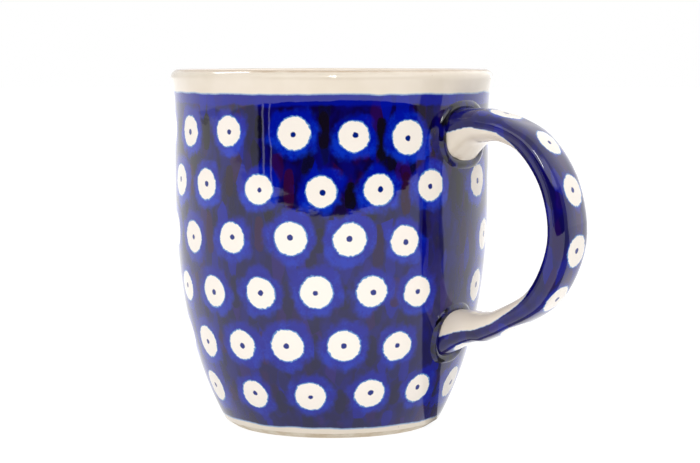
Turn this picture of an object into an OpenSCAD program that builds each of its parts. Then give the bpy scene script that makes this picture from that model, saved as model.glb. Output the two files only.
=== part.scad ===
// Stoneware mug: a cup with a foot ring, a strap handle luted on with slip, and the glaze coats over them.
// The cup's axis is Z, the foot stands on z = 0 and the handle points along +X.

/* [Cup] */
// Height from the foot to the top of the lip
cup_h = 97; // [80:0.5:118]
// Outside diameter of the upright wall, glaze included
body_d = 86; // [71:0.5:104]
// Outside diameter of the foot where it stands
foot_d = 58; // [48:0.5:70]
// Height at which the belly runs into the upright wall
belly_h = 76; // [60:0.5:92]
// How full the belly is: a higher power turns in later and sharper
belly_power = 3; // [2:0.1:4]
// Thickness of the wall, glaze included
wall_t = 4.6; // [3.6:0.1:6]
// Thickness of the floor over the foot recess, glaze included
floor_t = 5.2; // [4:0.1:8]
// Radius of the round corner between the floor and the inside wall
inner_corner_r = 16; // [12:0.5:20]

/* [Lip] */
// How far the lip stands out past the upright wall
lip_flare = 1; // [0.4:0.1:2]
// Angle at which the flare runs into the round edge of the lip
lip_turn = 14; // [10:1:30]

/* [Foot] */
// Width of the ring that the mug stands on
foot_ring_w = 5; // [3.5:0.1:7]
// Depth of the recess inside the foot ring
recess_h = 1.8; // [1:0.1:3]
// Size of the bevel on the outer edge of the foot ring
foot_bevel = 1.3; // [0.6:0.1:2]
// Size of the bevel on the inner edge of the foot ring
recess_bevel = 0.6; // [0.2:0.1:0.8]

/* [Glaze] */
// Thickness of every glaze coat
glaze_t = 0.35; // [0.2:0.05:0.5]
// Width of the unpainted band under the top of the lip
rim_band = 6.2; // [4:0.1:9]
// Width of the unpainted band above the foot's bevel
foot_band = 1.9; // [1.5:0.1:5]
// Width of the strip above the foot's bevel where the glaze is wiped off
wiped_strip = 0.2; // [0:0.1:1]

/* [Handle] */
// Width of the strap across the hand
strap_w = 15.6; // [12:0.2:19]
// Thickness of the strap at the grip
strap_t = 7; // [5.4:0.1:8.6]
// How far the strap's centre line stands out from the upright wall
handle_reach = 30; // [25:0.5:36]
// Drop from the top of the lip to the middle of the upper root
upper_root_drop = 17; // [16:0.1:22]
// Height of the middle of the lower root above the foot
lower_root_z = 27.4; // [22:0.1:34]
// Width of the upper root
upper_root_w = 18.2; // [15:0.2:22]
// Height of the upper root
upper_root_h = 14.6; // [12:0.2:18]
// Width of the lower root
lower_root_w = 13.8; // [11:0.2:17]
// Height of the lower root
lower_root_h = 12.8; // [10:0.2:16]
// Squareness of the strap's section: 2 is an ellipse
strap_square = 2.6; // [2:0.1:4]
// How tightly the roots flare: 1 is a straight cone
root_flare = 1.7; // [1:0.1:3]

/* [Slip joints] */
// Thickness of the slip between the handle and the wall
slip_t = 0.8; // [0.6:0.05:1.2]
// Width of the bead of slip squeezed out round each root
slip_bead = 1.3; // [0.6:0.1:1.8]

/* [Hidden] */
$fn = 128;

clay = [0.86, 0.80, 0.70];
slip = [0.16, 0.17, 0.42];
cream = [0.93, 0.89, 0.81];
cobalt = [0.10, 0.11, 0.42];

body_r = body_d / 2;
foot_r = foot_d / 2;
step_h = 2; // height of one band of the curved walls
turn_step = 15; // degrees from point to point round an arc

// The lip is a round edge as thick as the wall; the flare meets it at lip_turn below its widest point.
lip_r = wall_t / 2;
lip_centre = [body_r + lip_flare - lip_r, cup_h - lip_r];
flare_top = lip_centre + lip_r * [cos(lip_turn), -sin(lip_turn)];
flare_h = 2 * (flare_top[0] - body_r) / tan(lip_turn);
flare_z = flare_top[1] - flare_h;

// The inside corner is an arc that starts on the floor and ends along the wall.
floor_z = recess_h + floor_t;
wall_lean = atan(belly_slope(floor_z + 0.7 * inner_corner_r));
corner_turn = 90 - wall_lean;
corner_top_z = floor_z + inner_corner_r * (1 - cos(corner_turn));
corner_centre = [
    outer_r(corner_top_z) - wall_t / cos(wall_lean) - inner_corner_r * sin(corner_turn),
    floor_z + inner_corner_r
];

paint_top_z = cup_h - rim_band;
paint_bottom_z = foot_bevel + foot_band;
recess_r = foot_r - foot_ring_w;
slip_proud = slip_t - glaze_t;

// Outside radius of the glazed cup at height z
function belly_in(z) = (body_r - foot_r) * pow(max(0, 1 - z / belly_h), belly_power);
function belly_slope(z) = (body_r - foot_r) * belly_power / belly_h * pow(max(0, 1 - z / belly_h), belly_power - 1);
function flare_out(z) = (flare_top[0] - body_r) * pow(max(0, z - flare_z) / flare_h, 2);
function outer_r(z) = body_r - belly_in(z) + flare_out(z);

// Wall outlines as [radius, height] points, set in by a depth from the glazed surface
function heights(z0, z1) = let (n = ceil((z1 - z0) / step_h)) [for (i = [0 : n]) z0 + (z1 - z0) * i / n];
function arc(centre, r, a0, a1) =
    let (n = ceil(abs(a1 - a0) / turn_step)) [for (i = [0 : n]) let (a = a0 + (a1 - a0) * i / n)
        centre + r * [cos(a), sin(a)]];
function outside(z0, z1, inset) = [for (z = heights(z0, z1)) [outer_r(z) - inset, z]];
function lip(inset) = arc(lip_centre, lip_r - inset, -lip_turn, 180);
function inner_r(z) = let (lip_side = lip_centre[0] - lip_r)
    min(lip_side, outer_r(z) - wall_t / cos(atan(belly_slope(z))));
function inside(inset) = [for (z = heights(corner_top_z, lip_centre[1])) [inner_r(z) + inset, z]];
function corner(inset) = arc(corner_centre, inner_corner_r + inset, -90, corner_turn - 90);
function reversed(list) = [for (i = [len(list) - 1 : -1 : 0]) list[i]];

// ---- Cup ----

module cup_body() {
    color(clay) rotate_extrude() polygon(concat(
        [[0, recess_h], [recess_r, recess_h], [recess_r, recess_bevel], [recess_r + recess_bevel, 0]],
        [[foot_r - foot_bevel - glaze_t, 0]],
        outside(foot_bevel, flare_top[1], glaze_t),
        lip(glaze_t),
        reversed(inside(glaze_t)),
        reversed(corner(glaze_t)),
        [[0, floor_z - glaze_t]]
    ));
}

// ---- Glaze on the cup ----

// A coat over the outside wall between two heights
module wall_coat(z0, z1) {
    rotate_extrude() polygon(concat(outside(z0, z1, 0), reversed(outside(z0, z1, glaze_t))));
}

module lining_glaze() {
    color(cream) rotate_extrude() polygon(concat(
        outside(paint_top_z, flare_top[1], 0), lip(0), reversed(inside(0)), reversed(corner(0)),
        [[0, floor_z], [0, floor_z - glaze_t]],
        corner(glaze_t), inside(glaze_t), reversed(lip(glaze_t)),
        reversed(outside(paint_top_z, flare_top[1], glaze_t))
    ));
}

module painted_glaze() {
    color(cobalt) difference() {
        wall_coat(paint_bottom_z, paint_top_z);
        footprint_prism(upper_root, slip_bead);
        footprint_prism(lower_root, slip_bead);
    }
}

module foot_band_glaze() {
    color(cream) wall_coat(foot_bevel + wiped_strip, paint_bottom_z);
}

module underside_glaze() {
    color(cream) translate([0, 0, recess_h - glaze_t]) cylinder(r = recess_r, h = glaze_t);
}

// ---- Slip joints ----

// Each root is [height of its middle, width, height].
upper_root = [cup_h - upper_root_drop, upper_root_w, upper_root_h];
lower_root = [lower_root_z, lower_root_w, lower_root_h];

section_points = 32;
function rounded(v, p) = sign(v) * pow(abs(v), 2 / p);
// One point of the strap's section, as shares of half its width and half its thickness
function section_point(i) = let (a = 360 * (i + 0.5) / section_points)
    [rounded(cos(a), strap_square), rounded(sin(a), strap_square)];
function section(w, t) = [for (i = [0 : section_points - 1]) let (p = section_point(i)) [p[0] * w / 2, p[1] * t / 2]];

// The root's outline, grown by a margin, carried through the wall along X
module footprint_prism(root, margin) {
    translate([0, 0, root[0]]) rotate([90, 0, 90])
        linear_extrude(height = body_d) polygon(section(root[1] + 2 * margin, root[2] + 2 * margin));
}

module slip_joint(root) {
    low = root[0] - root[2];
    high = min(root[0] + root[2], paint_top_z);
    color(slip) intersection() {
        rotate_extrude() polygon(concat(
            outside(low, high, -slip_proud), reversed(outside(low, high, glaze_t))
        ));
        footprint_prism(root, slip_bead);
    }
}

module upper_slip_joint() {
    slip_joint(upper_root);
}

module lower_slip_joint() {
    slip_joint(lower_root);
}

// ---- Handle ----

// The strap's centre line and girth between its two necks:
// [share of the reach, share of the rise between the roots, share of strap_w, share of strap_t]
strap_stations = [
    [0.22, 1.048, 1.08, 1.30],
    [0.46, 1.028, 1.02, 1.06],
    [0.72, 0.945, 1.00, 1.00],
    [0.94, 0.750, 1.00, 1.00],
    [1.00, 0.485, 1.00, 1.00],
    [0.80, 0.225, 1.00, 0.95],
    [0.42, 0.090, 1.00, 0.92],
    [0.20, 0.046, 0.97, 1.14]
];
strap_rise = upper_root[0] - lower_root[0];
rings_per_station = 6;
rings_per_root = 6;

function station(i) = let (s = strap_stations[i]) [
    body_r + s[0] * handle_reach, lower_root[0] + s[1] * strap_rise, s[2] * strap_w, s[3] * strap_t
];
last_station = len(strap_stations) - 1;
function held(i) = station(max(0, min(last_station, i)));
function smooth(a, b, c, d, t) =
    0.5 * (2 * b + (c - a) * t + (2 * a - 5 * b + 4 * c - d) * t * t + (3 * b - a - 3 * c + d) * t * t * t);
function along_strap(u) = let (i = min(floor(u), last_station - 1))
    smooth(held(i - 1), held(i), held(i + 1), held(i + 2), u - i);

// A ring of the strap stands square to its centre line; the section's +t side is the outside of the handle.
function strap_ring(u, inset) =
    let (
        s = along_strap(u),
        ahead = along_strap(min(last_station, u + 0.05)) - along_strap(max(0, u - 0.05)),
        way = [ahead[0], ahead[1]] / norm([ahead[0], ahead[1]])
    )
    [for (p = section(s[2] - 2 * inset, s[3] - 2 * inset)) [s[0] - way[1] * p[1], p[0], s[1] + way[0] * p[1]]];

// A ring of the root's outline, laid on the slip; facing is 1 at the upper root and -1 at the lower one,
// where the strap comes back and its outside is its underside.
function wall_ring(root, facing, inset, share) =
    [for (p = section(root[1] - 2 * inset, root[2] - 2 * inset))
        let (y = p[0] * share, z = root[0] + facing * p[1] * share)
        [sqrt(pow(outer_r(z) + slip_proud, 2) - y * y), y, z]];

// Rings from the wall out to the strap's neck: straight in x, and eased in y and z into a concave flare
function root_rings(wall, neck) =
    [for (k = [0 : rings_per_root - 1]) let (s = 1 - k / rings_per_root, e = pow(s, root_flare))
        [for (i = [0 : section_points - 1])
            [neck[i][0] + (wall[i][0] - neck[i][0]) * s,
             neck[i][1] + (wall[i][1] - neck[i][1]) * e,
             neck[i][2] + (wall[i][2] - neck[i][2]) * e]]];

function handle_rings(inset) = concat(
    root_rings(wall_ring(upper_root, 1, inset, 1), strap_ring(0, inset)),
    [for (k = [0 : last_station * rings_per_station]) strap_ring(k / rings_per_station, inset)],
    reversed(root_rings(wall_ring(lower_root, -1, inset, 1), strap_ring(last_station, inset)))
);

// The ends of the core follow the curve of the wall in shrinking rings.
end_shares = [0.02, 0.35, 0.7];
function core_rings(inset) = concat(
    [for (s = end_shares) wall_ring(upper_root, 1, inset, s)],
    handle_rings(inset),
    [for (s = reversed(end_shares)) wall_ring(lower_root, -1, inset, s)]
);

// A skin of rings: the run of points from first to last on the glaze surface, and back along the core
function skin_rings(first, last) =
    let (skin = handle_rings(0), core = handle_rings(glaze_t))
    [for (k = [0 : len(skin) - 1]) concat(
        [for (i = [first : last]) skin[k][i % section_points]],
        [for (i = [last : -1 : first]) core[k][i % section_points]]
    )];

// Joins rings of equal length into a solid; a skin's end is closed by strips across its thickness.
module loft(rings, skin) {
    n = len(rings[0]);
    last = len(rings) - 1;
    sides = [for (k = [0 : last - 1]) for (i = [0 : n - 1])
        [k * n + i, k * n + (i + 1) % n, (k + 1) * n + (i + 1) % n, (k + 1) * n + i]];
    ends = skin
        ? [for (i = [0 : n / 2 - 2]) each [
            [n - 1 - i, n - 2 - i, i + 1, i],
            [last * n + i, last * n + i + 1, last * n + n - 2 - i, last * n + n - 1 - i]]]
        : [[for (i = [n - 1 : -1 : 0]) i], [for (i = [0 : n - 1]) last * n + i]];
    polyhedron([for (ring = rings) each ring], concat(sides, ends), convexity = 6);
}

// The paint covers the outside half of the strap, and stops just past the middle of each edge.
paint_first = section_points - 1;
paint_last = section_points + section_points / 2;

module handle_core() {
    color(clay) loft(core_rings(glaze_t), false);
}

module handle_painted_glaze() {
    color(cobalt) loft(skin_rings(paint_first, paint_last), true);
}

module handle_inner_glaze() {
    color(cream) loft(skin_rings(paint_last, paint_first + section_points), true);
}

cup_body();
lining_glaze();
painted_glaze();
foot_band_glaze();
underside_glaze();
upper_slip_joint();
lower_slip_joint();
handle_core();
handle_painted_glaze();
handle_inner_glaze();
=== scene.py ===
import math

import bpy
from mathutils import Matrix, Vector
from mathutils.kdtree import KDTree


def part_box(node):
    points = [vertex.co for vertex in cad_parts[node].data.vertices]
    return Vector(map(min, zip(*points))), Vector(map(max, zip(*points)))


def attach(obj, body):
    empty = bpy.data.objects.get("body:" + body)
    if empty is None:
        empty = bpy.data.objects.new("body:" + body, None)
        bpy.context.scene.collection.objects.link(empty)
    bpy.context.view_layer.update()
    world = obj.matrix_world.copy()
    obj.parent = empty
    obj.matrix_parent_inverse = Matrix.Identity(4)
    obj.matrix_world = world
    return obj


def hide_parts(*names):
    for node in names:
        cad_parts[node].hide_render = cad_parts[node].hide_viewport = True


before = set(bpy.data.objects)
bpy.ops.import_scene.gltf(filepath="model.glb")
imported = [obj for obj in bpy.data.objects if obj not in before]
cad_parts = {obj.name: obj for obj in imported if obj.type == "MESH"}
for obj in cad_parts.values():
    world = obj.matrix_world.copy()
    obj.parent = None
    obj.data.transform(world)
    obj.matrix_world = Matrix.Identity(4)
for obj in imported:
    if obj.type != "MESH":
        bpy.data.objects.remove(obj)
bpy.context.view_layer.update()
scene = bpy.context.scene
mm = 0.001
print("mug: frame loaded")


# Camera: a long lens, a little above the lip, with the handle to the right of centre
view = dict(
    turn=35,
    distance=554 * mm,
    height=100.8 * mm,
    lens=103.9,
    sensor=36,
    pitch=5,
    yaw=0.512,
    nearest=10 * mm,
    farthest=20,
)

turn = math.radians(view["turn"])
toCamera = Vector((math.sin(turn), -math.cos(turn), 0))
toRight = Vector((math.cos(turn), math.sin(turn), 0))


def addCamera():
    place = toCamera * view["distance"] + Vector((0, 0, view["height"]))
    bpy.ops.object.camera_add(location=place)
    camera = bpy.context.object
    camera.name = "camera"
    camera.data.lens = view["lens"]
    camera.data.sensor_width = view["sensor"]
    camera.data.clip_start = view["nearest"]
    camera.data.clip_end = view["farthest"]
    aim = toRight * view["distance"] * math.tan(math.radians(view["yaw"]))
    aim.z = view["height"] - view["distance"] * math.tan(math.radians(view["pitch"]))
    camera.rotation_euler = (aim - place).to_track_quat("-Z", "Y").to_euler()
    scene.camera = camera


addCamera()
print("mug: camera placed")


# Ways of working that every piece uses

def startMesh(name, location=(0, 0, 0), size=mm):
    bpy.ops.object.select_all(action="DESELECT")
    bpy.ops.mesh.primitive_plane_add(size=size, location=location)
    piece = bpy.context.object
    piece.name = name
    piece.data.name = name
    bpy.ops.object.transform_apply(location=True, rotation=True, scale=True)
    bpy.ops.object.mode_set(mode="EDIT")
    bpy.ops.mesh.select_mode(type="VERT")
    return piece


def pick(piece, chosen, kind="vertices"):
    # leaves edit mode on, with only the chosen vertices or faces selected
    bpy.ops.object.mode_set(mode="EDIT")
    bpy.ops.mesh.select_mode(type="FACE" if kind == "polygons" else "VERT")
    bpy.ops.mesh.select_all(action="DESELECT")
    bpy.ops.object.mode_set(mode="OBJECT")
    for item in getattr(piece.data, kind):
        item.select = bool(chosen(item))
    bpy.ops.object.mode_set(mode="EDIT")


def alone(piece):
    bpy.ops.object.select_all(action="DESELECT")
    piece.select_set(True)
    bpy.context.view_layer.objects.active = piece


def applied(piece, kind, **settings):
    alone(piece)
    modifier = piece.modifiers.new(kind.title(), kind)
    for key, value in settings.items():
        setattr(modifier, key, value)
    bpy.ops.object.modifier_apply(modifier=modifier.name)


def smooth(piece, angle=40):
    alone(piece)
    bpy.ops.object.shade_smooth_by_angle(angle=math.radians(angle))


def finished(piece, material, slot, *nodes):
    piece.data.materials.clear()
    piece.data.materials.append(material)
    for face in piece.data.polygons:
        face.material_index = 0
    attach(piece, "root")
    if nodes:
        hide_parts(*nodes)
    print("mug:", piece.name, len(piece.data.polygons), "faces")


# The cup's outline

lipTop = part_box("lining_glaze")[1]
cup = dict(
    height=lipTop.z,
    lipRadius=lipTop.y,
    bodyRadius=43 * mm,
    footRadius=29 * mm,
    bellyHeight=76 * mm,
    bellyPower=3,
    wall=4.6 * mm,
    lipTurn=14,
    floorTop=7 * mm,
    cornerRadius=16 * mm,
    cornerMeets=0.7,
    glaze=0.35 * mm,
    paintTop=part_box("painted_glaze")[1].z,
    paintBottom=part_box("painted_glaze")[0].z,
    glazeBottom=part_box("foot_band_glaze")[0].z,
    step=1 * mm,
    arcStep=7,
    sides=192,
    floorStep=1.5 * mm,
    shortest=0.01 * mm,
    weld=0.002 * mm,
    farFromPaint=-10 * mm,
)

lipRound = cup["wall"] / 2
lipCentre = Vector((cup["lipRadius"] - lipRound, cup["height"] - lipRound))
lipTurn = math.radians(cup["lipTurn"])
flareTop = lipCentre + lipRound * Vector((math.cos(lipTurn), -math.sin(lipTurn)))
flareHeight = 2 * (flareTop.x - cup["bodyRadius"]) / math.tan(lipTurn)
flareFoot = flareTop.y - flareHeight


def bellyShare(z):
    return max(0, 1 - z / cup["bellyHeight"])


def outerRadius(z):
    belly = (cup["bodyRadius"] - cup["footRadius"]) * bellyShare(z) ** cup["bellyPower"]
    flare = (flareTop.x - cup["bodyRadius"]) * (max(0, z - flareFoot) / flareHeight) ** 2
    return cup["bodyRadius"] - belly + flare


def bellyLean(z):
    run = (cup["bodyRadius"] - cup["footRadius"]) * cup["bellyPower"] / cup["bellyHeight"]
    return math.atan(run * bellyShare(z) ** (cup["bellyPower"] - 1))


def spread(start, end, step):
    count = max(1, math.ceil(abs(end - start) / step))
    return [start + (end - start) * i / count for i in range(count + 1)]


def arcPoints(centre, radius, start, end):
    angles = [math.radians(a) for a in spread(start, end, cup["arcStep"])]
    return [(centre[0] + radius * math.cos(a), centre[1] + radius * math.sin(a)) for a in angles]


def outsidePoints(bottom, top):
    return [(outerRadius(z), z) for z in spread(bottom, top, cup["step"])]


def lipPoints():
    return arcPoints(lipCentre, lipRound, -cup["lipTurn"], 180)


cornerLean = bellyLean(cup["floorTop"] + cup["cornerMeets"] * cup["cornerRadius"])
cornerTurn = 90 - math.degrees(cornerLean)
cornerTop = cup["floorTop"] + cup["cornerRadius"] * (1 - math.cos(math.radians(cornerTurn)))
cornerCentre = (
    outerRadius(cornerTop) - cup["wall"] / math.cos(cornerLean)
    - cup["cornerRadius"] * math.sin(math.radians(cornerTurn)),
    cup["floorTop"] + cup["cornerRadius"],
)


def insidePoints():
    heights = spread(cornerTop, lipCentre.y, cup["step"])
    lipSide = lipCentre.x - lipRound
    return [(min(lipSide, outerRadius(z) - cup["wall"] / math.cos(bellyLean(z))), z) for z in heights]


def cornerPoints():
    return arcPoints(cornerCentre, cup["cornerRadius"], -90, cornerTurn - 90)


def floorPoints():
    return [(r, cup["floorTop"]) for r in spread(0, cornerCentre[0], cup["floorStep"])]


# Sponge stamps: where each one sits, and where the paint ends

# front: the angles stamped by hand from the seam round past the handle, in degrees from the handle
stamping = dict(
    pitch=21.2,
    wobble=0.7,
    wobblePerStamp=7.3,
    wobblePerRow=90,
    dabWobble=1.6 * mm,
    dabWobblePerDab=5.1,
    dabWobblePerHeight=40,
    rows=(
        dict(height=80.5, front=(-115.5, -93.5, -68, -47.5, -28, 27)),
        dict(height=66.9, front=(-125, -105, -81, -58.7, -38.8, -18.6, 9.5)),
        dict(height=53.4, front=(-114.6, -92.7, -69.5, -48.8, -28.9, 18.8)),
        dict(height=39.7, front=(-124.7, -103.6, -81.5, -60.6, -40.7, -22.8, 14.4)),
        dict(height=25.4, front=(-113.8, -92.4, -72.4, -50.4, -29.1, 27)),
        dict(height=12.4, front=(-120, -91.3, -64.5, -38.7, -14.6, 12.1), pitch=25.7),
    ),
)


def wallStamps():
    rows = []
    for row in stamping["rows"]:
        places = []
        angles = list(row["front"])
        gap = angles[0] + 360 - angles[-1]
        count = round(gap / row.get("pitch", stamping["pitch"]))
        angles += [angles[-1] + gap * k / count for k in range(1, count)]
        for k, angle in enumerate(angles):
            beat = stamping["wobblePerStamp"] * k + stamping["wobblePerRow"] * row["height"]
            hand = math.sin(beat) * stamping["wobble"]
            z = (row["height"] + hand) * mm
            a = math.radians(angle + (hand if k >= len(row["front"]) else 0))
            places.append(Vector((outerRadius(z) * math.cos(a), outerRadius(z) * math.sin(a), z)))
        rows.append(places + places[:1])
    return rows


def markNearest(piece, name, places):
    # every face remembers the middle of the stamp, or of the brush dab, nearest to it
    tree = KDTree(len(places))
    for k, place in enumerate(places):
        tree.insert(place, k)
    tree.balance()
    mark = piece.data.attributes.new(name, "FLOAT_VECTOR", "FACE")
    for face in piece.data.polygons:
        mark.data[face.index].vector = tree.find(face.center)[0]


def markStamps(piece, rows):
    markNearest(piece, "stamp", [place for row in rows for place in row])
    dabs = []
    for row in rows:
        for k, (a, b) in enumerate(zip(row, row[1:])):
            dab = (a + b) / 2
            beat = stamping["dabWobblePerDab"] * k + stamping["dabWobblePerHeight"] * dab.z
            dab.z += math.sin(beat) * stamping["dabWobble"]
            dabs.append(dab)
    markNearest(piece, "dab", dabs)


def markPaint(piece):
    # how far each point is inside the painted band, negative on bare cream
    over = piece.data.attributes.new("overPaint", "FLOAT", "POINT")
    for point in piece.data.vertices:
        x, y, z = point.co
        outside = math.hypot(x, y) > outerRadius(z) - cup["wall"] / 2
        depth = min(cup["paintTop"] - z, z - cup["paintBottom"]) if outside else cup["farFromPaint"]
        over.data[point.index].value = depth


def thicken(piece):
    applied(piece, "SOLIDIFY", thickness=cup["glaze"], offset=-1, use_even_offset=True, use_rim=True)
    smooth(piece)


# Turned pieces: a profile drawn point by point, then spun

throwing = dict(size=26 * mm, depth=0.22 * mm, octaves=1, inwardOnly=1)


def turned(name, profile):
    piece = startMesh(name)
    bpy.ops.mesh.merge(type="CENTER")
    x, z = profile[0]
    bpy.ops.transform.translate(value=(x, 0, z))
    for nextX, nextZ in profile[1:]:
        if math.hypot(nextX - x, nextZ - z) > cup["shortest"]:
            step = (nextX - x, 0, nextZ - z)
            bpy.ops.mesh.extrude_region_move(TRANSFORM_OT_translate={"value": step})
            x, z = nextX, nextZ
    bpy.ops.mesh.select_all(action="SELECT")
    bpy.ops.mesh.remove_doubles(threshold=cup["weld"])
    bpy.ops.mesh.select_all(action="SELECT")
    bpy.ops.mesh.spin(steps=cup["sides"], angle=2 * math.pi, center=(0, 0, 0), axis=(0, 0, 1))
    bpy.ops.mesh.select_all(action="SELECT")
    bpy.ops.mesh.remove_doubles(threshold=cup["weld"])
    bpy.ops.mesh.normals_make_consistent(inside=False)
    bpy.ops.object.mode_set(mode="OBJECT")
    return piece


def handThrown(piece):
    # the slow waves that a turned clay wall keeps
    clouds = bpy.data.textures.get("throwingWaves") or bpy.data.textures.new("throwingWaves", "CLOUDS")
    clouds.noise_scale = throwing["size"]
    clouds.noise_depth = throwing["octaves"]
    applied(piece, "DISPLACE", texture=clouds, texture_coords="GLOBAL", strength=throwing["depth"],
            mid_level=throwing["inwardOnly"])


def coat(name, profile):
    piece = turned(name, profile)
    handThrown(piece)
    markPaint(piece)
    markStamps(piece, wallStamps())
    thicken(piece)
    return piece


def paintedCoat():
    return coat("paintedCoat", outsidePoints(cup["paintBottom"], cup["paintTop"]))


def footBandCoat():
    return coat("footBandCoat", outsidePoints(cup["glazeBottom"], cup["paintBottom"]))


def liningCoat():
    # from the middle of the floor, up the inside, over the lip and down to the paint
    inside = floorPoints() + cornerPoints() + insidePoints()
    outside = outsidePoints(cup["paintTop"], flareTop.y)
    return coat("liningCoat", inside + lipPoints()[::-1] + outside[::-1])


recess = dict(
    rounding=0.5 * mm,
    roundingIn=0.3,
    roundingDown=0.25,
    step=0.6 * mm,
    ripple=0.03 * mm,
    rippleLength=0.9 * mm,
)


def undersideCoat():
    low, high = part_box("underside_glaze")
    edge = high.y
    rounding = recess["rounding"]
    radii = spread(0, edge - rounding, recess["step"])
    face = [(r, low.z + recess["ripple"] * math.sin(r / recess["rippleLength"])) for r in radii]
    bend = (edge - rounding * recess["roundingIn"], low.z - rounding * recess["roundingDown"])
    corner = [bend, (edge, low.z - rounding)]
    piece = turned("undersideCoat", face + corner + [(edge, high.z), (0, high.z)])
    smooth(piece)
    return piece


# Handle: an outline extruded ring by ring along the strap

strap = dict(
    width=15.6 * mm,
    thickness=7 * mm,
    reach=30 * mm,
    bead=1.3 * mm,
    flare=1.7,
    squareness=0.587,
    cornerPoints=10,
    ringsPerStation=6,
    ringsPerRoot=7,
    lookAhead=0.05,
    weld=0.001 * mm,
    intoWall=1.2 * mm,
    stampsAt=(5, 19.8, 34.1, 49.9, 64.1, 79, 94),
    # share of the way along the strap, and how far round its side the paint comes
    paintEdge=(
        (0, 0.1), (0.14, -0.05), (0.24, -0.2), (0.31, -0.45), (0.36, -0.7), (0.45, -0.8),
        (0.62, -0.8), (0.66, -0.5), (0.71, -0.2), (0.76, 0.05), (0.86, 0.1), (1, 0.1),
    ),
    # share of the reach, share of the rise between the roots, width, thickness
    stations=(
        (0.22, 1.048, 1.08, 1.30),
        (0.46, 1.028, 1.02, 1.06),
        (0.72, 0.945, 1.00, 1.00),
        (0.94, 0.750, 1.00, 1.00),
        (1.00, 0.485, 1.00, 1.00),
        (0.80, 0.225, 1.00, 0.95),
        (0.42, 0.090, 1.00, 0.92),
        (0.20, 0.046, 0.97, 1.14),
    ),
)


def rootFrom(node):
    low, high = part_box(node)
    return dict(z=(low.z + high.z) / 2, width=high.y - low.y - 2 * strap["bead"],
                height=high.z - low.z - 2 * strap["bead"])


upperRoot = rootFrom("upper_slip_joint")
lowerRoot = rootFrom("lower_slip_joint")


def station(i):
    reach, rise, width, thickness = strap["stations"][max(0, min(len(strap["stations"]) - 1, i))]
    return Vector((
        cup["bodyRadius"] + reach * strap["reach"],
        lowerRoot["z"] + rise * (upperRoot["z"] - lowerRoot["z"]),
        width * strap["width"],
        thickness * strap["thickness"],
    ))


def alongStrap(u):
    last = len(strap["stations"]) - 1
    i = min(int(u), last - 1)
    t = u - i
    a, b, c, d = (station(i + k) for k in (-1, 0, 1, 2))
    return 0.5 * (2 * b + (c - a) * t + (2 * a - 5 * b + 4 * c - d) * t * t
                  + (3 * b - a - 3 * c + d) * t * t * t)


def ringAt(u):
    # centre, half thickness towards the outside of the handle, and width
    last = len(strap["stations"]) - 1
    here = alongStrap(u)
    ahead, behind = min(last, u + strap["lookAhead"]), max(0, u - strap["lookAhead"])
    way = alongStrap(ahead) - alongStrap(behind)
    way = Vector((way.x, way.y)).normalized()
    return dict(x=here.x, z=here.y, across=Vector((-way.y, way.x)) * here.w / 2, width=here.z)


def rootRings(root, facing, neck):
    # from inside the wall out to the strap's neck, easing into a concave flare
    wallX = outerRadius(root["z"])
    rings = []
    for k in range(strap["ringsPerRoot"]):
        share = 1 - k / strap["ringsPerRoot"]
        ease = share ** strap["flare"]
        wallAcross = Vector((0, facing * root["height"] / 2))
        across = Vector((
            neck["across"].x * (1 - share),
            neck["across"].y * (1 - ease) + wallAcross.y * ease,
        ))
        rings.append(dict(x=neck["x"] + (wallX - neck["x"]) * share,
                          z=neck["z"] + (root["z"] - neck["z"]) * ease,
                          across=across, width=neck["width"] + (root["width"] - neck["width"]) * ease,
                          wallX=wallX, share=share))
    return [dict(rings[0], x=wallX - strap["intoWall"])] + rings


def seatRoots(tube, rings):
    # bends each root so that its last ring lies on the round, leaning wall
    points = tube.data.vertices
    count = len(points) // len(rings)
    for number, ring in enumerate(rings):
        if "share" in ring:
            onWall = 1 if number < len(rings) / 2 else len(rings) - 2
            for k in range(count):
                y, z = points[onWall * count + k].co.yz
                wall = math.sqrt(outerRadius(z) ** 2 - y ** 2)
                points[number * count + k].co.x += ring["share"] * (wall - ring["wallX"])


def strapRings():
    last = len(strap["stations"]) - 1
    count = last * strap["ringsPerStation"]
    middle = [ringAt(last * i / count) for i in range(count + 1)]
    return (rootRings(upperRoot, 1, middle[0]) + middle
            + rootRings(lowerRoot, -1, middle[-1])[::-1])


def firstOutline(ring):
    centre = (ring["x"], 0, ring["z"])
    bpy.ops.mesh.select_all(action="SELECT")
    bpy.ops.transform.resize(value=(2 * ring["across"].length, ring["width"], 1), center_override=centre)
    bpy.ops.transform.rotate(value=math.atan2(ring["across"].y, ring["across"].x), orient_axis="Y",
                             center_override=centre)
    bpy.ops.mesh.bevel(offset_type="PERCENT", offset=0, offset_pct=50, affect="VERTICES",
                       segments=strap["cornerPoints"], profile=strap["squareness"])
    bpy.ops.mesh.remove_doubles(threshold=strap["weld"])
    bpy.ops.mesh.delete(type="ONLY_FACE")
    bpy.ops.mesh.select_all(action="SELECT")


def nextRing(old, new):
    centre = (new["x"], 0, new["z"])
    bpy.ops.mesh.extrude_region_move(
        TRANSFORM_OT_translate={"value": (new["x"] - old["x"], 0, new["z"] - old["z"])})
    bpy.ops.transform.rotate(value=-math.atan2(old["across"].y, old["across"].x), orient_axis="Y",
                             center_override=centre)
    thicker, wider = new["across"].length / old["across"].length, new["width"] / old["width"]
    bpy.ops.transform.resize(value=(thicker, wider, 1), center_override=centre)
    bpy.ops.transform.rotate(value=math.atan2(new["across"].y, new["across"].x), orient_axis="Y",
                             center_override=centre)


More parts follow.
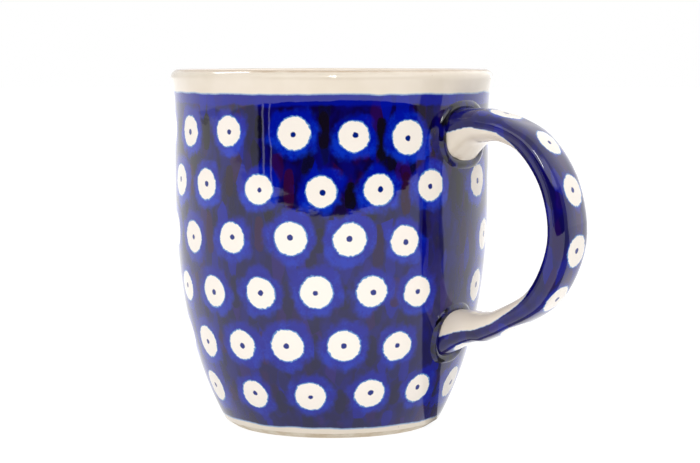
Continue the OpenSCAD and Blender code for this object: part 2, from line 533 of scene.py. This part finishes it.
def strapTube(rings):
    tube = startMesh("strapTube", location=(rings[0]["x"], 0, rings[0]["z"]), size=1)
    firstOutline(rings[0])
    for old, new in zip(rings, rings[1:]):
        nextRing(old, new)
    bpy.ops.mesh.select_all(action="SELECT")
    bpy.ops.mesh.normals_make_consistent(inside=False)
    bpy.ops.object.mode_set(mode="OBJECT")
    seatRoots(tube, rings)
    handThrown(tube)
    return tube


def copied(piece, name):
    alone(piece)
    bpy.ops.object.duplicate()
    copy = bpy.context.object
    copy.name = name
    copy.data.name = name
    return copy


def strapCore(tube):
    # the clay strap under its glaze, closed at both ends
    core = copied(tube, "strapCore")
    bpy.ops.object.mode_set(mode="EDIT")
    bpy.ops.mesh.select_all(action="SELECT")
    bpy.ops.transform.shrink_fatten(value=-cup["glaze"])
    bpy.ops.mesh.fill_holes(sides=0)
    bpy.ops.mesh.select_all(action="SELECT")
    bpy.ops.mesh.normals_make_consistent(inside=False)
    bpy.ops.object.mode_set(mode="OBJECT")
    smooth(core)
    return core


def halfStrap(tube, name, outer):
    # the painted outside and the bare inside of the strap are two coats that meet along its sides
    piece = copied(tube, name)
    sign = 1 if outer else -1
    around = [sign * item.value for item in piece.data.attributes["around"].data]
    pick(piece, lambda face: sum(around[v] for v in face.vertices) < 0, "polygons")
    bpy.ops.mesh.delete(type="FACE")
    bpy.ops.object.mode_set(mode="OBJECT")
    thicken(piece)
    return piece


def strapStamps(rings):
    # spaced along the middle of the outer face, measured from the strap's upper neck
    places, wanted = [], list(strap["stampsAt"])
    skin = [Vector((ring["x"] + ring["across"].x, 0, ring["z"] + ring["across"].y)) for ring in rings]
    run = -sum((b - a).length for a, b in zip(skin[:strap["ringsPerRoot"] + 1], skin[1:]))
    for a, b in zip(skin, skin[1:]):
        while wanted and run + (b - a).length >= wanted[0] * mm:
            places.append(a.lerp(b, (wanted.pop(0) * mm - run) / (b - a).length))
        run += (b - a).length
    return places


def edgeOfPaint(share):
    # how far round the side the paint comes, from 1 at the outer face to -1 at the inner
    marks = strap["paintEdge"]
    for (a, low), (b, high) in zip(marks, marks[1:]):
        if share <= b:
            return low + (high - low) * (share - a) / (b - a)
    return marks[-1][1]


def markStrap(tube, rings):
    count = len(tube.data.vertices) // len(rings)
    tube.data.attributes.new("around", "FLOAT", "POINT")
    tube.data.attributes.new("overPaint", "FLOAT", "POINT")
    around, over = tube.data.attributes["around"], tube.data.attributes["overPaint"]
    for point in tube.data.vertices:
        number = point.index // count
        ring = rings[number]
        arm = Vector((point.co.x - ring["x"], point.co.z - ring["z"]))
        share = arm.dot(ring["across"]) / ring["across"].length_squared
        around.data[point.index].value = share
        edge = edgeOfPaint(number / (len(rings) - 1))
        over.data[point.index].value = (share - edge) * 2 * ring["across"].length
    markStamps(tube, [strapStamps(rings)])


slip = dict(clear=0.5 * mm, round=1.65 * mm, sunk=0.95 * mm, standoff=2 * mm, bands=4)


def collar(name, root, facing):
    # slip squeezed out round the root, as a rounded bead laid on the wall
    start = outerRadius(root["z"]) + slip["standoff"]
    bead = startMesh(name, location=(start, 0, root["z"]), size=1)
    across = Vector((0, facing * (root["height"] / 2 + slip["clear"])))
    ring = dict(x=start, z=root["z"], across=across, width=root["width"] + 2 * slip["clear"])
    firstOutline(ring)
    bpy.ops.object.mode_set(mode="OBJECT")
    applied(bead, "SHRINKWRAP", target=paint, wrap_method="PROJECT", use_project_x=True,
            use_negative_direction=True, use_positive_direction=True)
    bpy.ops.object.convert(target="CURVE")
    bead = bpy.context.object
    bead.data.bevel_depth = slip["round"]
    bead.data.bevel_resolution = slip["bands"]
    bpy.ops.object.convert(target="MESH")
    bead = bpy.context.object
    bead.name = name
    bead.data.name = name
    bpy.ops.object.mode_set(mode="EDIT")
    bpy.ops.mesh.select_all(action="SELECT")
    bpy.ops.mesh.remove_doubles(threshold=strap["weld"])
    bpy.ops.transform.translate(value=(-slip["sunk"], 0, 0))
    bpy.ops.mesh.normals_make_consistent(inside=False)
    bpy.ops.object.mode_set(mode="OBJECT")
    smooth(bead, 180)
    return bead


# Glaze, paint, clay and slip

def shade(red, green, blue):
    # a colour as a paint chart gives it, 0 to 255, made linear
    chart = (red, green, blue)
    return [((c / 255 + 0.055) / 1.055) ** 2.4 if c > 10 else c / 255 / 12.92 for c in chart] + [1]


def addNode(tree, kind, inputs=(), **settings):
    item = tree.nodes.new("ShaderNode" + kind)
    for key, value in settings.items():
        setattr(item, key, value)
    for key, value in dict(inputs).items():
        if isinstance(value, bpy.types.NodeSocket):
            tree.links.new(value, item.inputs[key])
        else:
            item.inputs[key].default_value = value
    return item


def calc(tree, operation, *values):
    return addNode(tree, "Math", enumerate(values), operation=operation).outputs[0]


def times(tree, one, other):
    return calc(tree, "MULTIPLY", one, other)


def fade(tree, value, start, end):
    # 0 at start and 1 at end, whichever is larger
    inputs = {"Value": value, "From Min": start, "From Max": end}
    return addNode(tree, "MapRange", inputs, interpolation_type="SMOOTHSTEP").outputs[0]


def layer(tree, share, under, over):
    return addNode(tree, "Mix", {0: share, 6: under, 7: over}, data_type="RGBA").outputs[2]


def mottle(tree, place, size, detail=2):
    # a value wandering round zero, about half a unit either way, with lumps of the given size
    noise = addNode(tree, "TexNoise", {"Vector": place, "Scale": 1 / size, "Detail": detail})
    return calc(tree, "SUBTRACT", noise.outputs[0], 0.5)


def apart(tree, here, there):
    return addNode(tree, "VectorMath", {0: here, 1: there}, operation="DISTANCE").outputs["Value"]


def upright(tree, vector):
    return addNode(tree, "SeparateXYZ", {0: vector}).outputs[2]


def levelLength(tree, vector):
    flat = addNode(tree, "VectorMath", {0: vector, 1: (1, 1, 0)}, operation="MULTIPLY").outputs[0]
    return addNode(tree, "VectorMath", {0: flat}, operation="LENGTH").outputs["Value"]


def stretched(tree, place, scale):
    return addNode(tree, "Mapping", {"Vector": place, "Scale": scale}).outputs[0]


def pushed(tree, value, *pushes):
    for amount, by in pushes:
        value = calc(tree, "MULTIPLY_ADD", amount, by, value)
    return value


def newMaterial(name, roughness, ior=1.5):
    material = bpy.data.materials.new(name)
    material.use_nodes = True
    tree = material.node_tree
    surface = tree.nodes["Principled BSDF"]
    surface.inputs["Roughness"].default_value = roughness
    surface.inputs["IOR"].default_value = ior
    return material, tree, surface


def relief(tree, surface, height, depth):
    bump = addNode(tree, "Bump", {"Height": height, "Distance": depth, "Strength": 1})
    tree.links.new(bump.outputs[0], surface.inputs["Normal"])


glaze = dict(
    roughness=0.035,
    ripple=9 * mm,
    fineRipple=2 * mm,
    fineShare=0.08,
    rippleDepth=0.1 * mm,
    cream=shade(240, 228, 212),
    creamDark=shade(232, 219, 200),
    disc=shade(250, 241, 230),
    speck=shade(150, 120, 90),
    rimBrown=shade(176, 142, 104),
    bleed=shade(96, 148, 206),
    cobalt=shade(0, 18, 160),
    cobaltPale=shade(10, 52, 192),
    ground=shade(8, 6, 100),
    groundDark=shade(10, 2, 58),
    black=shade(12, 10, 16),
    maroon=shade(48, 6, 50),
    centre=shade(0, 30, 122),
    wash=shade(18, 12, 104),
)

brush = dict(
    groundLumps=3.5 * mm,
    groundStretch=(1, 1, 0.5),
    groundMix=(-0.12, 0.14),
    dabSize=3.3 * mm,
    dabStretch=(1, 1, 0.33),
    dabRagged=2.5 * mm,
    dabRaggedBy=0.35,
    dabChance=(0.6, 0.8),
    dabs=(
        dict(draw=2, edge=(0.6, 0.5), strength=0.7, colour=glaze["cobalt"]),
        dict(draw=1, edge=(0.68, 0.5), strength=0.6, colour=glaze["maroon"]),
        dict(draw=0, edge=(0.62, 0.45), strength=0.75, colour=glaze["black"]),
    ),
)


def brushed(tree, place):
    # dark dabs of the brush, taller than wide, over a mottled ground
    lumps = mottle(tree, stretched(tree, place, brush["groundStretch"]), brush["groundLumps"])
    ground = layer(tree, fade(tree, lumps, *brush["groundMix"]), glaze["groundDark"], glaze["ground"])
    tall = stretched(tree, place, brush["dabStretch"])
    dabs = addNode(tree, "TexVoronoi", {"Vector": tall, "Scale": 1 / brush["dabSize"]})
    ragged = mottle(tree, place, brush["dabRagged"])
    warp = pushed(tree, dabs.outputs["Distance"], (ragged, brush["dabRaggedBy"]))
    draws = addNode(tree, "SeparateColor", {0: dabs.outputs["Color"]})
    for dab in brush["dabs"]:
        drawn = fade(tree, draws.outputs[dab["draw"]], *brush["dabChance"])
        shape = times(tree, fade(tree, warp, *dab["edge"]), drawn)
        ground = layer(tree, times(tree, shape, dab["strength"]), ground, dab["colour"])
    return ground


stroke = dict(
    width=1.5 * mm,
    reach=3 * mm,
    ragged=1.8 * mm,
    raggedBy=0.8,
    edge=(1.3, 0.8),
    strength=0.9,
    maroonChance=(0.5, 0.7),
)


def dabbed(tree, place, colour):
    # one firm upright stroke in each gap between two stamps
    dab = addNode(tree, "Attribute", attribute_name="dab").outputs["Vector"]
    chance = addNode(tree, "TexWhiteNoise", {"Vector": dab}).outputs["Color"]
    draws = addNode(tree, "SeparateColor", {0: chance})
    away = addNode(tree, "VectorMath", {0: place, 1: dab}, operation="SUBTRACT").outputs[0]
    wide = levelLength(tree, away)
    tall = calc(tree, "ABSOLUTE", upright(tree, away))
    reach = calc(tree, "MULTIPLY_ADD", draws.outputs[1], stroke["reach"], stroke["reach"])
    shape = calc(tree, "ADD", calc(tree, "POWER", calc(tree, "DIVIDE", wide, stroke["width"]), 3),
                 calc(tree, "POWER", calc(tree, "DIVIDE", tall, reach), 4))
    shape = pushed(tree, shape, (mottle(tree, place, stroke["ragged"]), stroke["raggedBy"]))
    maroon = fade(tree, draws.outputs[0], *stroke["maroonChance"])
    ink = layer(tree, maroon, glaze["black"], glaze["maroon"])
    return layer(tree, times(tree, fade(tree, shape, *stroke["edge"]), stroke["strength"]), colour, ink)


halo = dict(
    cupRadius=6.7 * mm,
    strapRadius=4.8 * mm,
    varies=1.6 * mm,
    lobes=4.5 * mm,
    lobeStretch=(1, 1, 0.7),
    lobeDepth=6 * mm,
    fray=1 * mm,
    frayDepth=1.2 * mm,
    fadesOut=0.9 * mm,
    fadesIn=1.2 * mm,
    runsFrom=-5 * mm,
    runsTo=6 * mm,
    runsBy=0.25,
    blotches=3.2 * mm,
    sponge=0.6 * mm,
    spongeBy=0.5,
    mix=(-0.16, 0.24),
    strength=0.88,
)


def haloed(tree, place, stamp, fromStamp, draw, radius, colour):
    # a halo of thinner cobalt dabbed round every stamp, no two alike, palest where it ran down
    lobes = mottle(tree, stretched(tree, place, halo["lobeStretch"]), halo["lobes"], 2)
    fray = mottle(tree, place, halo["fray"], 2)
    edge = pushed(tree, fromStamp, (calc(tree, "SUBTRACT", draw, 0.5), halo["varies"]),
                  (lobes, halo["lobeDepth"]), (fray, halo["frayDepth"]))
    below = addNode(tree, "VectorMath", {0: stamp, 1: place}, operation="SUBTRACT").outputs[0]
    below = fade(tree, upright(tree, below), halo["runsFrom"], halo["runsTo"])
    grain = pushed(tree, mottle(tree, place, halo["blotches"], 3),
                   (mottle(tree, place, halo["sponge"], 2), halo["spongeBy"]),
                   (calc(tree, "SUBTRACT", below, 0.5), halo["runsBy"]))
    thin = layer(tree, fade(tree, grain, *halo["mix"]), glaze["cobalt"], glaze["cobaltPale"])
    share = fade(tree, edge, radius + halo["fadesOut"], radius - halo["fadesIn"])
    return layer(tree, times(tree, share, halo["strength"]), colour, thin)


wash = dict(top=64 * mm, full=46 * mm, lowCup=0.28, strap=0.4)


def washed(tree, place, even, colour):
    # lower down the cup, and all along the strap, an even purple-blue is laid over the strokes
    low = times(tree, fade(tree, upright(tree, place), wash["top"], wash["full"]), wash["lowCup"])
    return layer(tree, calc(tree, "MAXIMUM", low, even), colour, glaze["wash"])


disc = dict(
    radius=4.1 * mm,
    varies=0.5 * mm,
    lobes=3.4 * mm,
    lobeDepth=0.8 * mm,
    teeth=0.8 * mm,
    toothDepth=0.75 * mm,
    bleed=(0.5 * mm, 0.08 * mm),
    bare=(0.12 * mm, -0.08 * mm),
)
dot = dict(
    radius=0.76 * mm,
    shift=0.7 * mm,
    lumps=0.8 * mm,
    lumpDepth=0.4 * mm,
    edge=(0.16 * mm, -0.1 * mm),
)


def fadeAt(tree, value, radius, edge):
    return fade(tree, value, radius + edge[0], radius + edge[1])


def painting(tree, place, haloRadius, evenWash):
    stamp = addNode(tree, "Attribute", attribute_name="stamp").outputs["Vector"]
    chance = addNode(tree, "TexWhiteNoise", {"Vector": stamp})
    draw = addNode(tree, "SeparateColor", {0: chance.outputs["Color"]}).outputs[0]
    fromStamp = apart(tree, place, stamp)
    colour = dabbed(tree, place, brushed(tree, place))
    colour = haloed(tree, place, stamp, fromStamp, draw, haloRadius, colour)
    colour = washed(tree, place, evenWash, colour)
    # the stamp itself: an uneven disc left bare, its blue edge, and the dot in its middle
    uneven = calc(tree, "SUBTRACT", chance.outputs["Value"], 0.5)
    edge = pushed(tree, fromStamp, (uneven, disc["varies"]),
                  (mottle(tree, place, disc["lobes"]), disc["lobeDepth"]),
                  (mottle(tree, place, disc["teeth"]), disc["toothDepth"]))
    colour = layer(tree, fadeAt(tree, edge, disc["radius"], disc["bleed"]), colour, glaze["bleed"])
    colour = layer(tree, fadeAt(tree, edge, disc["radius"], disc["bare"]), colour, glaze["disc"])
    away = addNode(tree, "VectorMath", {0: chance.outputs["Color"], 1: (-0.5, -0.5, -0.5)}, operation="ADD")
    inputs = {0: away.outputs[0], 1: (dot["shift"],) * 3, 2: stamp}
    middle = addNode(tree, "VectorMath", inputs, operation="MULTIPLY_ADD").outputs[0]
    near = pushed(tree, apart(tree, place, middle), (mottle(tree, place, dot["lumps"]), dot["lumpDepth"]))
    return layer(tree, fadeAt(tree, near, dot["radius"], dot["edge"]), colour, glaze["centre"])


bare = dict(
    clouds=14 * mm,
    mix=(-0.2, 0.25),
    speckSpacing=2.6 * mm,
    speckSize=(0.07, 0.03),
    speckChance=(0.86, 0.9),
    speckStrength=0.7,
)


def bareCream(tree, place):
    clouds = fade(tree, mottle(tree, place, bare["clouds"], 3), *bare["mix"])
    soft = layer(tree, clouds, glaze["cream"], glaze["creamDark"])
    specks = addNode(tree, "TexVoronoi", {"Vector": place, "Scale": 1 / bare["speckSpacing"]})
    draw = addNode(tree, "SeparateColor", {0: specks.outputs["Color"]}).outputs[0]
    speck = times(tree, fade(tree, specks.outputs["Distance"], *bare["speckSize"]),
                  fade(tree, draw, *bare["speckChance"]))
    return layer(tree, times(tree, speck, bare["speckStrength"]), soft, glaze["speck"])


rim = dict(
    lumps=6 * mm,
    lumpDepth=0.7 * mm,
    starts=0.9 * mm,
    full=0.15 * mm,
    inward=1 * mm,
    strength=0.75,
)


def brownRim(tree, place, height, colour):
    # a brown tint laid along the top of the outer crest of the lip, darkening the lip's top edge
    crestTint = pushed(tree, height, (mottle(tree, place, rim["lumps"], 3), rim["lumpDepth"]))
    crestTint = fade(tree, crestTint, cup["height"] - rim["starts"], cup["height"] - rim["full"])
    outer = fade(tree, levelLength(tree, place), lipCentre.x - rim["inward"], lipCentre.x)
    return layer(tree, times(tree, times(tree, crestTint, outer), rim["strength"]), colour, glaze["rimBrown"])


paintLine = dict(
    wander=9 * mm,
    wanderDepth=1.2 * mm,
    waver=1.1 * mm,
    cupWaverDepth=0.2 * mm,
    strapWaverDepth=1 * mm,
    bleed=(-0.4 * mm, 0),
    bleedStrength=0.8,
    edge=(-0.05 * mm, 0.3 * mm),
    bandDepth=3 * mm,
    bandLumps=4 * mm,
    bandLumpDepth=2.4 * mm,
    bandEdge=(-0.3 * mm, 0.6 * mm),
    bandStrength=0.7,
)


def glazeMaterial(name, haloRadius, waverDepth, evenWash=0, lip=False):
    material, tree, surface = newMaterial(name, glaze["roughness"])
    place = addNode(tree, "TexCoord").outputs["Object"]
    height = upright(tree, place)
    over = addNode(tree, "Attribute", attribute_name="overPaint").outputs["Fac"]
    over = pushed(tree, over, (mottle(tree, place, paintLine["wander"], 1), paintLine["wanderDepth"]),
                  (mottle(tree, place, paintLine["waver"]), waverDepth))
    colour = bareCream(tree, place)
    if lip:
        colour = brownRim(tree, place, height, colour)
    bleed = times(tree, fade(tree, over, *paintLine["bleed"]), paintLine["bleedStrength"])
    colour = layer(tree, bleed, colour, glaze["bleed"])
    # the brush goes once round under the lip with thinner cobalt
    low = pushed(tree, height, (mottle(tree, place, paintLine["bandLumps"]), paintLine["bandLumpDepth"]))
    band = fadeAt(tree, low, cup["paintTop"] - paintLine["bandDepth"], paintLine["bandEdge"])
    painted = painting(tree, place, haloRadius, evenWash)
    painted = layer(tree, times(tree, band, paintLine["bandStrength"]), painted, glaze["cobalt"])
    colour = layer(tree, fade(tree, over, *paintLine["edge"]), colour, painted)
    tree.links.new(colour, surface.inputs["Base Color"])
    fine = mottle(tree, place, glaze["fineRipple"], 1)
    ripple = pushed(tree, mottle(tree, place, glaze["ripple"], 1), (fine, glaze["fineShare"]))
    relief(tree, surface, ripple, glaze["rippleDepth"])
    return material


clay = dict(
    body=shade(224, 214, 196),
    dark=shade(200, 182, 156),
    roughness=0.85,
    clouds=4 * mm,
    cloudMix=(-0.2, 0.25),
    grain=0.5 * mm,
    grainMix=(0.1, 0.3),
    grainStrength=0.6,
    grainDepth=0.15 * mm,
)


def clayMaterial():
    material, tree, surface = newMaterial("bareStoneware", clay["roughness"])
    place = addNode(tree, "TexCoord").outputs["Object"]
    grain = mottle(tree, place, clay["grain"], 6)
    clouds = fade(tree, mottle(tree, place, clay["clouds"], 5), *clay["cloudMix"])
    colour = layer(tree, clouds, clay["body"], clay["dark"])
    pits = times(tree, fade(tree, grain, *clay["grainMix"]), clay["grainStrength"])
    colour = layer(tree, pits, colour, clay["dark"])
    tree.links.new(colour, surface.inputs["Base Color"])
    relief(tree, surface, grain, clay["grainDepth"])
    return material


pooled = dict(lumps=2.5 * mm, mix=(-0.12, 0.2), ripple=3 * mm, rippleDepth=0.05 * mm)


def slipMaterial():
    material, tree, surface = newMaterial("pooledGlazeOverSlip", glaze["roughness"])
    place = addNode(tree, "TexCoord").outputs["Object"]
    lumps = fade(tree, mottle(tree, place, pooled["lumps"]), *pooled["mix"])
    tree.links.new(layer(tree, lumps, glaze["black"], glaze["ground"]), surface.inputs["Base Color"])
    relief(tree, surface, mottle(tree, place, pooled["ripple"], 1), pooled["rippleDepth"])
    return material


onCup = (halo["cupRadius"], paintLine["cupWaverDepth"])
onStrap = (halo["strapRadius"], paintLine["strapWaverDepth"], wash["strap"])
cobaltGlaze = glazeMaterial("cobaltUnderClearGlaze", *onCup)
creamGlaze = glazeMaterial("clearGlazeOverCream", *onCup, lip=True)
strapGlaze = glazeMaterial("paintedStrapGlaze", *onStrap)
bareStoneware = clayMaterial()
pooledGlaze = slipMaterial()
print("mug: glazes mixed")


# The pieces

paint = paintedCoat()
lining = liningCoat()
footBand = footBandCoat()
underside = undersideCoat()
rings = strapRings()
tube = strapTube(rings)
markStrap(tube, rings)
strapOutside = halfStrap(tube, "strapPaintedCoat", True)
strapInside = halfStrap(tube, "strapBareCoat", False)
core = strapCore(tube)
alone(tube)
bpy.ops.object.delete()
upperCollar = collar("upperSlipCollar", upperRoot, 1)
lowerCollar = collar("lowerSlipCollar", lowerRoot, -1)

finished(paint, cobaltGlaze, "cobalt_glaze", "painted_glaze")
finished(lining, creamGlaze, "cream_glaze", "lining_glaze")
finished(footBand, creamGlaze, "cream_glaze", "foot_band_glaze")
finished(underside, creamGlaze, "cream_glaze", "underside_glaze")
finished(strapOutside, strapGlaze, "cobalt_glaze", "handle_painted_glaze")
finished(strapInside, strapGlaze, "cream_glaze", "handle_inner_glaze")
finished(core, bareStoneware, "stoneware", "handle_core")
finished(upperCollar, pooledGlaze, "slip", "upper_slip_joint")
finished(lowerCollar, pooledGlaze, "slip", "lower_slip_joint")
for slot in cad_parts["cup_body"].material_slots:
    slot.material = bareStoneware
print("mug: pieces done")


# Studio: a white floor and tent, open towards the camera

# bearings are degrees round from the camera, heights run from 0 level to 1 overhead
studio = dict(
    gapLeft=-54.5,
    gapRight=63.4,
    gapTop=0.4,
    edge=1,
    topEdge=0.02,
    dark=0.01,
    panel=0.92,
    panelTop=0.2,
    roof=1.0,
    roofFrom=0.7,
    dimRight=84,
    dimShare=0.6,
    sideGlow=1.65,
    sideGlowRight=165,
    sideGlowEdge=4,
    sideLight=0.42,
    sideLightFull=0.5,
    sideLightEnds=0.9,
    softBottom=0.43,
    softTop=0.76,
    softTopEdge=0.03,
    softSideEdge=2,
    softGlow=2.5,
    standEdge=0.3,
    stands=(
        dict(bearing=-50, width=0.8, glow=2),
        dict(bearing=-44.5, width=0.4, glow=2.4),
    ),
    lamps=(
        dict(name="frontLamp", turn=2, climb=40, width=60 * mm, length=260 * mm, power=1.8),
        dict(name="sideLamp", turn=-125, climb=53, width=200 * mm, length=300 * mm, power=4),
    ),
    lampDistance=1.1,
)

floorLook = dict(
    size=6,
    front=500 * mm,
    seen=0.93,
    reflects=0.1,
    roughness=0.9,
    glow=1.27,
    underMug=0.75,
    shadowReach=110 * mm,
    stripDims=0.9,
    rearFrom=0.1,
    rearFull=-0.1,
    rearLight=0.45,
)


def grey(value):
    return (value, value, value, 1)


def bearingOf(tree, way):
    # degrees round from the camera, to its right
    ahead = addNode(tree, "VectorMath", {0: way, 1: toCamera}, operation="DOT_PRODUCT").outputs["Value"]
    aside = addNode(tree, "VectorMath", {0: way, 1: toRight}, operation="DOT_PRODUCT").outputs["Value"]
    return calc(tree, "DEGREES", calc(tree, "ARCTAN2", aside, ahead)), ahead


def between(tree, value, low, high, soft):
    rising = fade(tree, value, low - soft, low + soft)
    return times(tree, rising, fade(tree, value, high + soft, high - soft))


def floorMaterial():
    material = bpy.data.materials.new("studioFloor")
    material.use_nodes = True
    tree = material.node_tree
    surface = tree.nodes["Principled BSDF"]
    surface.inputs["Base Color"].default_value = grey(floorLook["reflects"])
    surface.inputs["Roughness"].default_value = floorLook["roughness"]
    surface.inputs["Emission Color"].default_value = grey(1)
    # what the glaze mirrors has a dim strip to the right and shade under the mug
    place = addNode(tree, "TexCoord").outputs["Object"]
    bearing, ahead = bearingOf(tree, place)
    strip = between(tree, bearing, studio["gapRight"], studio["dimRight"], studio["edge"])
    strip = calc(tree, "MULTIPLY_ADD", strip, -floorLook["stripDims"], 1)
    distance = addNode(tree, "VectorMath", {0: place}, operation="LENGTH").outputs["Value"]
    near = fade(tree, distance, cup["footRadius"], floorLook["shadowReach"])
    near = calc(tree, "MULTIPLY_ADD", near, 1 - floorLook["underMug"], floorLook["underMug"])
    glow = times(tree, times(tree, strip, near), floorLook["glow"])
    # behind the mug the floor is bright to mirror, but lights matt surfaces less
    rays = addNode(tree, "LightPath").outputs
    rear = fade(tree, ahead, floorLook["rearFrom"], floorLook["rearFull"])
    matt = times(tree, rays["Is Diffuse Ray"], rear)
    glow = times(tree, glow, calc(tree, "MULTIPLY_ADD", matt, floorLook["rearLight"] - 1, 1))
    inputs = {0: rays["Is Camera Ray"], 2: glow, 3: floorLook["seen"]}
    glow = addNode(tree, "Mix", inputs, data_type="FLOAT").outputs[0]
    tree.links.new(glow, surface.inputs["Emission Strength"])
    return material


def addFloor():
    bpy.ops.object.select_all(action="DESELECT")
    middle = toCamera * (floorLook["front"] - floorLook["size"] / 2)
    bpy.ops.mesh.primitive_plane_add(size=floorLook["size"], location=middle, rotation=(0, 0, turn))
    floor = bpy.context.object
    bpy.ops.object.transform_apply(location=True, rotation=True, scale=True)
    floor.name = "floor"
    floor.data.materials.append(floorMaterial())


def addTent():
    world = bpy.data.worlds.new("studioTent")
    scene.world = world
    world.use_nodes = True
    tree = world.node_tree
    tree.nodes.clear()
    way = addNode(tree, "TexCoord").outputs["Generated"]
    bearing = bearingOf(tree, way)[0]
    height = upright(tree, way)
    low = fade(tree, height, studio["gapTop"] + studio["topEdge"], studio["gapTop"] - studio["topEdge"])
    gap = between(tree, bearing, studio["gapLeft"], studio["gapRight"], studio["edge"])
    dim = between(tree, bearing, studio["gapRight"], studio["dimRight"], studio["edge"])
    side = between(tree, bearing, studio["dimRight"], studio["sideGlowRight"], studio["sideGlowEdge"])
    light = fade(tree, height, studio["panelTop"], studio["roofFrom"])
    light = layer(tree, light, grey(studio["panel"]), grey(studio["roof"]))
    light = layer(tree, side, light, grey(studio["sideGlow"]))
    light = layer(tree, times(tree, times(tree, dim, low), studio["dimShare"]), light, grey(studio["dark"]))
    # the side walls are bright to mirror, but light the mug less than the front does
    rays = addNode(tree, "LightPath").outputs
    walls = fade(tree, height, studio["sideLightEnds"], studio["sideLightFull"])
    light = layer(tree, times(tree, rays["Is Diffuse Ray"], walls), light, grey(studio["sideLight"]))
    soft = between(tree, height, studio["softBottom"], studio["softTop"], studio["softTopEdge"])
    front = between(tree, bearing, studio["gapLeft"], studio["gapRight"], studio["softSideEdge"])
    light = layer(tree, times(tree, soft, front), light, grey(studio["softGlow"]))
    light = layer(tree, times(tree, gap, low), light, grey(studio["dark"]))
    for stand in studio["stands"]:
        left, right = stand["bearing"] - stand["width"], stand["bearing"] + stand["width"]
        pole = between(tree, bearing, left, right, studio["standEdge"])
        light = layer(tree, times(tree, pole, low), light, grey(stand["glow"]))
    tent = addNode(tree, "Background", {"Color": light}).outputs[0]
    seen = addNode(tree, "Background", {"Color": grey(1)}).outputs[0]
    both = addNode(tree, "MixShader", {0: rays["Is Camera Ray"], 1: tent, 2: seen})
    addNode(tree, "OutputWorld", {"Surface": both.outputs[0]})


def addLamp(lamp):
    # only for the sparkle on rounded edges: it lights no matt surface
    climb, side = math.radians(lamp["climb"]), math.radians(lamp["turn"])
    way = (toCamera * math.cos(side) + toRight * math.sin(side)) * math.cos(climb)
    way.z = math.sin(climb)
    bpy.ops.object.light_add(type="AREA", location=way * studio["lampDistance"])
    light = bpy.context.object
    light.name = lamp["name"]
    light.data.shape = "RECTANGLE"
    light.data.size = lamp["width"]
    light.data.size_y = lamp["length"]
    light.data.energy = lamp["power"]
    light.visible_diffuse = False
    light.rotation_euler = (-way).to_track_quat("-Z", "Y").to_euler()


scene.view_settings.view_transform = "Standard"
addFloor()
addTent()
for lamp in studio["lamps"]:
    addLamp(lamp)
print("mug: studio lit")
